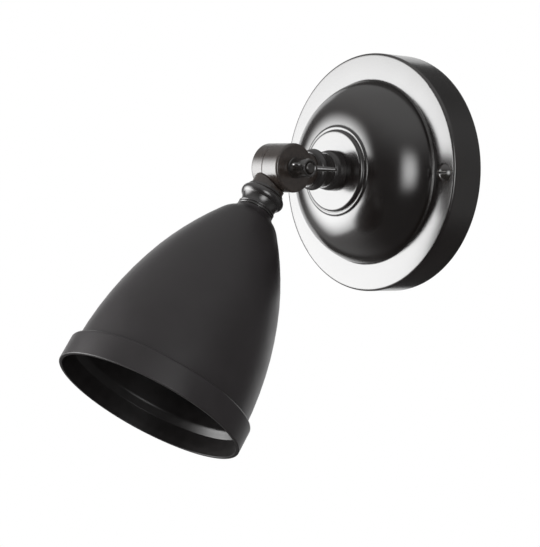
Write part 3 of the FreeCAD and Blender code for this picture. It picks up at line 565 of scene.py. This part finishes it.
def tone_and_height(tree, look):
    """How the two tones mix, and how high the surface stands in metres."""
    grains = place_group(tree, FINE_GRAIN, Size=look["grain"], Patch=look["patch"])
    tone = grains["Patches"]
    height = maths(tree, "MULTIPLY", grains["Height"], look["grain_depth"] * MM)
    if look["axis"]:
        centre, way = look["axis"]
        lines = place_group(tree, TURNING_LINES, Centre=centre * MM, Axis=way, Pitch=look["line_pitch"])
        tone = maths(tree, "ADD", maths(tree, "MULTIPLY", tone, 1.0 - look["streak"]),
                     maths(tree, "MULTIPLY", lines["Streaks"], look["streak"]))
        height = raised(tree, height, lines["Height"], look["line_depth"])
    if look["brushed"]:
        strokes = place_group(tree, BRUSHED_LINES, Along=look["brushed"])
        height = raised(tree, height, strokes["Height"], look["brush_depth"])
    if look["curl"]:
        sprung = place_group(tree, SPRINGBACK, Axis=-Y_AXIS, Slope=look["curl"])
        height = maths(tree, "ADD", height, sprung["Height"])
    return tone, height


# %% Mixing a finish
def colour_mix(tree, factor, *tones):
    """From the first tone to the second; a tone is three numbers or another node's output."""
    values = {"Factor": factor}
    for label, tone in zip("AB", tones):
        values[label] = (*tone, 1.0) if isinstance(tone, tuple) else tone
    return put(tree, "Mix", values, data_type="RGBA").outputs["Result"]


def finish(name, dark, light, worn_and_glint, rough, **recipe):
    """A metal, lacquer or paint from its tones, its roughness and what differs from the plain look."""
    look = {**PLAIN_LOOK, **recipe}
    material, tree, surface = new_material(name)
    tone, height = tone_and_height(tree, look)
    edges = place_group(tree, WORN_AND_GLINT_EDGES, Width=look["wear_width"], Amount=look["wear"])
    dust = place_group(tree, SPECKS, Spacing=look["speck_spacing"], Size=look["speck_size"])
    drift = ramp(tree, tone, 0.5 - look["mottle"], 0.5 + look["mottle"], smooth=False)
    body = colour_mix(tree, drift, dark, light)
    # Worn edges take the worn tone; at the screws' full wear this is also a painted glint.
    body = colour_mix(tree, edges["Mask"], body, worn_and_glint)
    body = colour_mix(tree, dust["Mask"], body, look["speck"])
    glossier, duller = rough - look["rough_drift"], rough + look["rough_drift"]
    spread = ramp(tree, drift, 0.0, 1.0, glossier, duller, smooth=False)
    rubbed = maths(tree, "MULTIPLY", edges["Mask"], look["worn_rough"] - rough)
    roughness = maths(tree, "ADD", spread, rubbed, clamp=True)
    bump = put(tree, "Bump", {"Distance": 1.0, "Strength": 1.0, "Height": height, "Normal": edges["Eased"]})
    shader = put(tree, "BsdfPrincipled", {
        "Base Color": body, "Metallic": look["metallic"], "IOR": look["ior"], "Roughness": roughness,
        "Normal": bump.outputs["Normal"]})
    tree.links.new(shader.outputs[0], surface)
    return material


FINISHES = {}

# %% [markdown]
# ### Lacquer on the plate and the shade
# The plate is nearly black and glossy, so it mirrors the soft box as a white land with faint brushing
# in it. The shade has a satin coat of almost the same tone that only glows. Inside it is painted
# darker, as painted shade for the hollow that little light reaches, and still shows the spinning. A
# mirror of metal would be the quick way to the bright land, but it would tint and brighten the dark
# parts too; a high index of refraction keeps them black and lets the gloss rise at a slant, as lacquer does.

# %% Lacquered plate and satin shade
STEM_AXIS, SHADE_AXIS, PIVOT_AXIS = (lathe[:2] for lathe in (STEM_LATHE, SHADE_LATHE, PIVOT_LATHE))
FINISHES["plate_finish"] = finish(
    "lacquered_plate", (0.0088, 0.0066, 0.0058), (0.0122, 0.0092, 0.0082), (0.16, 0.11, 0.08), 0.19,
    ior=2.1, rough_drift=0.015, grain=0.5, grain_depth=0.0003, patch=14.0, wear_width=0.9, wear=0.15,
    speck_spacing=5.0, speck_size=0.07, speck=(0.12, 0.115, 0.11),
    brushed=(0.7, 0.0, -0.714), brush_depth=0.0022, curl=0.05)
FINISHES["shade_finish"] = finish(
    "satin_charcoal_shade", (0.0172, 0.0136, 0.0146), (0.0228, 0.0184, 0.0197), (0.05, 0.044, 0.04), 0.42,
    ior=1.65, rough_drift=0.035, grain=0.3, grain_depth=0.0006, patch=14.0, wear_width=0.2, wear=0.12)
# The inside's darker tones are painted shade for the hollow of the bell; its lines and gloss are real.
SHADE_INSIDE_PAINTED_SHADE = finish(
    "satin_shade_inside_painted_darker", (0.009, 0.0079, 0.0078), (0.016, 0.0142, 0.014), (0.05, 0.044, 0.04), 0.33,
    rough_drift=0.05, axis=SHADE_AXIS, grain=0.3, grain_depth=0.0006, patch=4.0, line_pitch=0.5,
    line_depth=0.001, streak=0.3, wear_width=0.2, wear=0.15)
print("lacquers:", sorted(FINISHES), "and", SHADE_INSIDE_PAINTED_SHADE.name)

# %% [markdown]
# ### Dark bronze
# The stem, the neck, the knuckle, the wing nut and the screws have one dark bronze colour, but each
# was made another way: turned bright and darkened, rubbed brown, cast, or rolled. One material for
# all of them would look moulded. Each gets its own lines, grain and wear, and the neck's lines run
# round the shade's axis, where the stem's run round the stem's.

# %% Turned stem and neck
FINISHES["turned_bronze"] = finish(
    "turned_dark_bronze", (0.017, 0.0149, 0.0142), (0.028, 0.0245, 0.0235), (0.2, 0.15, 0.12), 0.25,
    ior=1.85, axis=STEM_AXIS, grain=0.35, grain_depth=0.0003, patch=5.0, line_pitch=0.35,
    line_depth=0.0022, streak=0.5, wear_width=0.18, wear=0.8)
NECK_BRONZE = finish(
    "turned_neck_bronze", (0.015, 0.0132, 0.0126), (0.025, 0.022, 0.0212), (0.2, 0.15, 0.12), 0.25,
    ior=2.1, axis=SHADE_AXIS, grain=0.35, grain_depth=0.0004, patch=5.0, line_pitch=0.35,
    line_depth=0.0012, streak=0.4, wear_width=0.12, wear=0.3)
print("turned:", FINISHES["turned_bronze"].name, "and", NECK_BRONZE.name)

# %% Rubbed knuckle, cast wing nut and screws
FINISHES["knuckle_bronze"] = finish(
    "brown_bronze_knuckle", (0.024, 0.0175, 0.0142), (0.050, 0.0368, 0.03), (0.27, 0.19, 0.13), 0.26,
    ior=1.93, rough_drift=0.012, axis=PIVOT_AXIS, grain=0.5, grain_depth=0.0012, patch=1.1, mottle=0.14,
    line_pitch=0.45, line_depth=0.0025, streak=0.2, wear_width=0.3, wear=0.6,
    speck_spacing=3.0, speck_size=0.05, speck=(0.1, 0.085, 0.07))
CAST_BRONZE = finish(
    "cast_dark_bronze", (0.009, 0.0076, 0.0068), (0.028, 0.0235, 0.0205), (0.25, 0.19, 0.14), 0.18,
    ior=2.3, rough_drift=0.06, grain=1.1, grain_depth=0.035, patch=1.5, wear_width=0.2, wear=0.3,
    speck_spacing=3.0, speck_size=0.04, speck=(0.1, 0.085, 0.07))
# The screws' light brass edge tone at full wear is worn brass and also a painted glint on the slot edges.
FINISHES["screw_bronze"] = finish(
    "dark_screw_bronze_painted_glints", (0.010, 0.0078, 0.0066), (0.024, 0.019, 0.016), (0.5, 0.4, 0.31), 0.17,
    ior=2.2, grain=0.3, grain_depth=0.001, patch=2.0, wear_width=0.25, wear=1.0, worn_rough=0.2)
print("bronzes:", FINISHES["knuckle_bronze"].name, CAST_BRONZE.name, FINISHES["screw_bronze"].name)

# %% [markdown]
# ### What is hidden
# Brass, zinc-plated steel, cream and black plastic and a brown fibre disc only show when the light
# comes apart. They could stay grey, but a reader who opens the light wants to tell a terminal from a
# nut, so they get the common finish of each trade.

# %% Brass and zinc
FINISHES["brass_plain"] = finish(
    "plain_brass", (0.55, 0.41, 0.19), (0.68, 0.52, 0.27), (0.8, 0.66, 0.4), 0.3, metallic=1.0,
    rough_drift=0.06, grain=0.3, grain_depth=0.002, patch=4.0, wear=0.5)
FINISHES["zinc_steel"] = finish(
    "zinc_plated_steel", (0.46, 0.46, 0.45), (0.6, 0.6, 0.6), (0.72, 0.72, 0.72), 0.36, metallic=1.0,
    rough_drift=0.07, grain=0.5, grain_depth=0.003, patch=6.0, wear=0.4)
print("metals:", FINISHES["brass_plain"].name, "and", FINISHES["zinc_steel"].name)

# %% Plastics and fibre
FINISHES["block_plastic"] = finish(
    "cream_block_plastic", (0.62, 0.6, 0.54), (0.7, 0.68, 0.62), (0.78, 0.76, 0.7), 0.45,
    rough_drift=0.05, grain=0.25, grain_depth=0.004, patch=6.0, wear=0.4, worn_rough=0.35)
FINISHES["holder_black"] = finish(
    "black_moulded_holder", (0.012, 0.012, 0.012), (0.02, 0.02, 0.02), (0.05, 0.05, 0.05), 0.3,
    rough_drift=0.05, grain=0.3, grain_depth=0.003, patch=8.0, wear=0.5, worn_rough=0.2)
FINISHES["fibre"] = finish(
    "brown_fibre_disc", (0.12, 0.07, 0.045), (0.2, 0.12, 0.08), (0.28, 0.18, 0.12), 0.7,
    rough_drift=0.05, grain=0.2, grain_depth=0.02, patch=2.0, wear=0.5, worn_rough=0.6)
print("plastics and fibre:", [FINISHES[slot].name for slot in ("block_plastic", "holder_black", "fibre")])

# %% [markdown]
# ### Dressing the frame
# Each CAD node comes with the name of its material slot, so one loop can dress them all. The neck
# shares its slot with the stem but is turned about another axis, so it takes its own bronze.

# %% Dress the CAD nodes
for node, obj in frame["nodes"].items():
    slot_name = obj.data.materials[0].name
    obj.data.materials[0] = NECK_BRONZE if node == "shade_neck" else FINISHES[slot_name]
print("finishes:", sorted(FINISHES))

# %% [markdown]
# ## Pieces with a richer shape
# CAD holds the true sizes, but a sharp-edged solid doesn't look spun or cast. The shade, the wing
# nut, the threaded tube and the lamp shell are drawn again here on the same axes and sizes, with the
# slope behind the shade's band, a cast skin and real threads. A bevel on the CAD meshes would round
# everything alike; drawing each outline keeps every radius where the real piece has it.

# %% Drawing an outline
def drawn(*steps, bend=4.0):
    """Points of an outline. A step is a point, or (point, radius, side) for an arc to that point."""
    line = []
    for step in steps:
        if not isinstance(step[0], tuple):
            line.append(Vector(step))
            continue
        end, radius, side = Vector(step[0]), step[1], step[2]
        start = line[-1]
        way = end - start
        lift = math.sqrt(max(radius * radius - way.length_squared / 4, 0.0))
        centre = start + way / 2 + Vector((-way.y, way.x)).normalized() * lift * side
        first, last = ((p - centre).angle_signed(Vector((1, 0))) for p in (start, end))
        turn = (last - first) % (2 * math.pi) if side > 0 else -((first - last) % (2 * math.pi))
        count = max(2, math.ceil(abs(math.degrees(turn)) / bend))
        for k in range(1, count + 1):
            angle = first + turn * k / count
            line.append(centre + Vector((math.cos(angle), math.sin(angle))) * radius)
    return line


# %% Spinning an outline into a piece
def spun(profile, lathe, count):
    """Points and faces of a closed (radius, height) outline spun about a lathe's axis."""
    centre, axis, across, beside = lathe
    points, faces, rows = [], [], len(profile)
    for k in range(count):
        t = 2 * math.pi * k / count
        out = across * math.cos(t) + beside * math.sin(t)
        points += [centre + out * r + axis * h for r, h in profile]
    for k in range(count):
        a, b = k * rows, (k + 1) % count * rows
        for i in range(rows):
            j = (i + 1) % rows
            faces.append((a + i, a + j, b + j, b + i))
    return points, faces


def mesh_piece(name, points, faces, sharp=35.0):
    """A smooth-shaded mesh from points in mm, with edges sharper than that angle kept crisp."""
    thing = add_object(name, [p * MM for p in points], faces)
    shape = bmesh.new()
    shape.from_mesh(thing.data)
    bmesh.ops.recalc_face_normals(shape, faces=shape.faces)
    shape.to_mesh(thing.data)
    shape.free()
    thing.data.polygons.foreach_set("use_smooth", [True] * len(thing.data.polygons))
    thing.data.set_sharp_from_angle(angle=math.radians(sharp))
    return thing


def stands_for(piece, node, body, slot, dress=None):
    """Dress a piece in its slot's finish, or in one of its own, and let it stand for a CAD node."""
    piece.data.materials.append(dress or FINISHES[slot])
    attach(piece, body)
    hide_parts(node)
    print(piece.name, "stands for", node, "with", len(piece.data.polygons), "faces")


# %% [markdown]
# ### The shade
# On the real light a disc of sheet is spun over a bell-shaped former, and its mouth is rolled out
# into a proud band. Behind the band the sheet can't turn a sharp corner: it runs inwards down a
# straight slope of about 32 degrees, which catches the light, and ends in a small crease. The
# outline holds that slope and crease as they are, because a subdivided cage would smear both.

# %% The shade's outline
def shade_outline():
    """The closed outline from the hole in its top, and the step of it where the inside starts.

    Radii are from the shade's axis and heights from the pivot, in mm."""
    hole, top, floor = 5.05, 25.1, 27.5
    skirt, band, mouth, lip = (41.75, 117.5), 44.4, 129.6, 0.4
    bore, bore_lip, inside = 42.75, 0.3, (40.45, 114.0)
    outer = drawn(
        (hole, top), (8.75, top), ((11.9, 28.6), 7.0, -1), ((15.0, 32.2), 16.8, 1),
        ((30.9, 62.0), 150.0, 1), (skirt, 164.0, 1), ((42.0, 117.58), 0.35, -1), (43.3, 117.6),
        ((band, 118.7), 1.1, 1), (band, mouth - lip), ((band - lip, mouth), lip, 1),
        (bore + bore_lip, mouth), ((bore, mouth - bore_lip), bore_lip, 1), (bore, 120.8),
        ((42.67, 120.53), 0.5, -1), (41.03, 117.92), ((40.57, 116.52), 3.0, 1), inside, bend=3.0)
    inner = drawn(inside, ((29.72, 62.4), 163.0, -1), ((14.15, 33.2), 149.0, -1), (9.2, 29.3),
                  (8.7, floor), (hole, floor), bend=3.0)
    profile = outer + inner[1:]
    hem = next(i for i, spot in enumerate(profile) if spot.y > mouth - 0.01)
    return profile, hem


# %% Shade
def make_shade():
    """The spun shade, with a darker finish from the mouth inwards that paints the hollow's shade."""
    profile, hem = shade_outline()
    piece = mesh_piece("spun_shade", *spun(profile, SHADE_LATHE, 160), sharp=40.0)
    stands_for(piece, "shade", "head", "shade_finish")
    # The inner faces take the darker finish, as painted shade inside the bell.
    piece.data.materials.append(SHADE_INSIDE_PAINTED_SHADE)
    piece.data.polygons.foreach_set("material_index", [
        int(k % len(profile) >= hem) for k in range(len(piece.data.polygons))])


make_shade()

# %% [markdown]
# ### The wing nut
# It is a small casting: a hub that tapers a little and two wings that flare forward, thickest at the
# hub and round at every edge. The shells are joined with a voxel remesh and eased with a smooth, the
# way a mould's corners and the tumbling barrel soften the real one. A boolean would join them too,
# but it leaves the sharp seams that casting never has. One wing sits a little high.

# %% One wing
# How far off the bolt's axis a wing leaves the hub and how long it is, then half its thickness there,
# how much of that it loses by its end, and how far its edges round off, all in mm.
WING_ROOT, WING_REACH = 4.0, 9.9
HALF_AT_ROOT, THINNING, EDGE_ROUND = 1.4, 0.65, 0.9


def wing_shell(side, lift):
    """One pillow-shaped wing, on side 1 towards the wall or -1 away, its end lifted by so many mm."""
    outline = drawn((12.7, 3.1), (20.6, 3.1), (27.3, 10.4), ((21.35, 10.4), 3.0, 1), bend=8.0)
    count, points, faces = len(outline), [], []
    levels = [math.radians(a) for a in (-90, -60, -35, -12, 12, 35, 60, 90)]
    for level in levels:
        for k, spot in enumerate(outline):
            way = (outline[(k + 1) % count] - outline[k - 1]).normalized()
            spot = spot + Vector((-way.y, way.x)) * EDGE_ROUND * (1 - math.cos(level))
            half = HALF_AT_ROOT - THINNING * min(max((spot.y - WING_ROOT) / WING_REACH, 0.0), 1.0)
            rise = lift * max(spot.y - WING_ROOT, 0.0) / WING_REACH
            points.append(PIVOT + Vector((spot.x, spot.y * side, half * math.sin(level) + rise)))
    for row in range(len(levels) - 1):
        for k in range(count):
            j = (k + 1) % count
            a, b = row * count, (row + 1) * count
            faces.append((a + k, a + j, b + j, b + k))
    faces.append(tuple(range(count)))
    faces.append(tuple(range((len(levels) - 1) * count, len(levels) * count)))
    return points, faces


# %% Hub and wings as loose shells
WING_LIFTS = ((1, -0.5), (-1, 1.3))


def wing_nut_shells():
    """The bored hub and both wings, which still run through each other."""
    bore, foot, tip = 2.62, 11.55, 21.8
    hub = drawn((bore, foot), (4.85, foot), (4.9, 11.9), ((4.5, 12.5), 0.6, -1), (4.2, 21.2),
                ((3.6, tip), 0.6, 1), (3.25, tip), (bore, 21.2))
    points, faces = spun(hub, PIVOT_LATHE, 64)
    for side, lift in WING_LIFTS:
        more, walls = wing_shell(side, lift)
        faces += [tuple(i + len(points) for i in wall) for wall in walls]
        points += more
    return mesh_piece("wing_nut_shells", points, faces)


# %% Wing nut
def make_wing_nut(grain=0.16):
    """The shells cast into one skin; grain is the voxel's size in mm."""
    shells = wing_nut_shells()
    remesh = shells.modifiers.new("join", "REMESH")
    remesh.mode, remesh.voxel_size, remesh.use_smooth_shade = "VOXEL", grain * MM, True
    ease = shells.modifiers.new("ease", "SMOOTH")
    ease.factor, ease.iterations = 0.5, 8
    cast = shells.evaluated_get(bpy.context.evaluated_depsgraph_get())
    mesh = bpy.data.meshes.new_from_object(cast)
    mesh.polygons.foreach_set("use_smooth", [True] * len(mesh.polygons))
    piece = bpy.data.objects.new("cast_wing_nut", mesh)
    bpy.context.scene.collection.objects.link(piece)
    bpy.data.objects.remove(shells)
    stands_for(piece, "wing_nut", "wing_nut", "knuckle_bronze", CAST_BRONZE)


make_wing_nut()

# %% [markdown]
# ### Threads
# The stem's tube carries a fine rolled thread for its back nut, and the lamp shell is sheet rolled
# into the lamp's own coarse, round thread, so it waves inside and outside alike. A bump could fake
# both, but their outlines show at the tube's end and through the mouth. A thread is only a radius
# that depends on how far round and how far along a point lies, so one function makes both.

# %% Threaded sleeve
def sleeve_faces(rows, count):
    """Faces of two skins of rows of points, outer first, joined at both ends."""
    faces, skip = [], (rows + 1) * count
    for i in range(rows):
        for k in range(count):
            j = (k + 1) % count
            a, b = i * count, (i + 1) * count
            faces.append((a + k, a + j, b + j, b + k))
            faces.append((skip + a + k, skip + b + k, skip + b + j, skip + a + j))
    for i in (0, rows):
        for k in range(count):
            j = (k + 1) % count
            faces.append((i * count + k, i * count + j, skip + i * count + j, skip + i * count + k))
    return faces


def threaded(outer, inner, low, high, pitch, lathe, count, steps):
    """A sleeve from low to high; each skin gives a radius from the place on the thread's turn."""
    centre, axis, across, beside = lathe
    points, rows = [], math.ceil((high - low) / pitch * steps)
    for skin in (outer, inner):
        for i in range(rows + 1):
            h = low + (high - low) * i / rows
            fade = min(1.0, (h - low) / pitch, (high - h) / pitch)
            for k in range(count):
                t = 2 * math.pi * k / count
                r = skin((h / pitch - t / (2 * math.pi)) % 1.0, fade)
                points.append(centre + axis * h + (across * math.cos(t) + beside * math.sin(t)) * r)
    return points, sleeve_faces(rows, count)


# %% Threaded tube
def make_tube(radius=5.0, bore=3.6, pitch=1.0, depth=0.35):
    """The stem's tube, as long as its CAD node."""
    low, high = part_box("stem_tube")
    back, front = (round(-corner.y / MM, 2) for corner in (high, low))

    def ridge(turn, fade):
        return radius - depth * fade * abs(2 * turn - 1)

    def plain(turn, fade):
        return bore

    skins = threaded(ridge, plain, back, front, pitch, STEM_LATHE, count=64, steps=8)
    tube = mesh_piece("threaded_tube", *skins, sharp=80.0)
    stands_for(tube, "stem_tube", "wall_mount", "brass_plain")


make_tube()

# %% Lamp shell
def make_lamp_shell(start=47.5, length=15.0, radius=7.42, swing=0.36, sheet=0.4, pitch=2.82):
    """The rolled shell; start is how far it lies from the pivot, along the shade's axis."""
    def outside(turn, fade):
        return radius + swing * fade * math.cos(2 * math.pi * turn)

    def inside(turn, fade):
        return outside(turn, fade) - sheet

    skins = threaded(outside, inside, start, start + length, pitch, SHADE_LATHE, count=96, steps=14)
    stands_for(mesh_piece("rolled_lamp_shell", *skins), "holder_shell", "head", "brass_plain")


make_lamp_shell()

# %% [markdown]
# ## The picture's tones
# A filmic view would roll the bright land and the white background down to grey. The photograph is
# pure white there, so the plain view transform shows the scene's values as they are.

# %% View settings
bpy.context.scene.view_settings.view_transform = "Standard"
print("view transform:", bpy.context.scene.view_settings.view_transform)

# %% [markdown]
# ## The dressed light's size
# The dressed light must not outgrow its CAD frame. Only the shade's tighter lip goes past it, by a
# fifth of a millimetre.

# %% Update the scene
bpy.context.view_layer.update()
